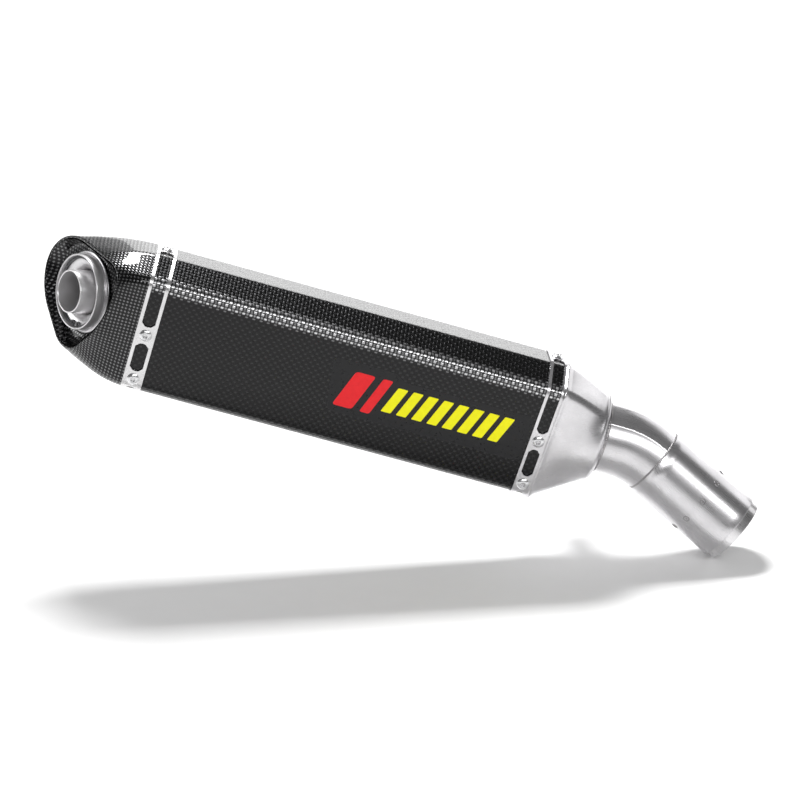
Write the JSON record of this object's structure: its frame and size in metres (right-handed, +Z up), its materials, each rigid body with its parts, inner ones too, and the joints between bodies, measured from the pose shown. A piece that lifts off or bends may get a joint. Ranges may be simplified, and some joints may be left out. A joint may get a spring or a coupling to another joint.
{
  "type": "exhaust muffler",
  "caption": "Hexagonal carbon-fibre slip-on motorcycle muffler with riveted titanium bands, a slanted carbon end cap, a removable noise insert and an angled link pipe.",
  "frame": {"origin": "centre of the slip joint's open end, where the muffler pushes onto the exhaust system", "axes": "the muffler as it hangs on the motorcycle: +X forward, towards the engine, +Z up, -Y outboard, away from the wheel; the can's axis rises 16.3 degrees towards the rear and its section is rolled 5.1 degrees"},
  "size_m": [0.6388, 0.1337, 0.2912],
  "materials": {
    "carbon": "woven carbon fibre under clear lacquer",
    "titanium": "satin brushed titanium",
    "steel": "satin stainless steel",
    "weld": "rippled weld bead, slightly darker than the tube",
    "rivet": "bright stainless blind rivet",
    "spring": "dark spring steel",
    "wool": "packed mineral wool",
    "mesh": "stainless wool wrap",
    "rubber": "matt black"
  },
  "bodies": {
    "root": {"sleeve": "carbon", "outlet_strap": "titanium", "outlet_rivet_top": "rivet", "outlet_rivet_outer_mid": "rivet", "outlet_rivet_outer_low": "rivet", "outlet_rivet_inner_mid": "rivet", "outlet_rivet_inner_low": "rivet", "inlet_rivet_top": "rivet", "inlet_rivet_outer_mid": "rivet", "inlet_rivet_outer_low": "rivet", "inlet_rivet_inner_mid": "rivet", "inlet_rivet_inner_low": "rivet", "rear_support_ring": "steel", "front_support_ring": "steel", "inlet_cap": "titanium", "elbow": "titanium", "neck_weld": "weld", "link_pipe": "titanium", "joint_weld": "weld", "plug_weld_1": "weld", "plug_weld_2": "weld", "plug_weld_3": "weld", "plug_weld_4": "weld", "plug_weld_5": "weld", "plug_weld_6": "weld", "plug_weld_7": "weld", "plug_weld_8": "weld", "plug_weld_9": "weld", "slip_sleeve": "steel", "end_cap": "carbon", "outlet_tube": "titanium", "outlet_collar": "titanium", "core_tube": "steel", "core_reducer": "steel", "core_wrap": "mesh", "packing_wool": "wool", "rear_baffle": "steel", "tail_elbow": "steel", "hanger_bracket": "titanium", "hanger_grommet": "rubber", "hanger_collar": "steel"},
    "noise_insert": {"noise_insert": "steel"},
    "retaining_ring": {"retaining_ring": "spring"}
  },
  "joints": [
    {"name": "insert_slide", "type": "slide", "parent": "root", "child": "noise_insert", "axis": [-0.7861, -0.5789, 0.2166], "range_m": [0, 0.06]},
    {"name": "ring_slide", "type": "slide", "parent": "noise_insert", "child": "retaining_ring", "axis": [-0.7861, -0.5789, 0.2166], "range_m": [0, 0.03]}
  ]
}
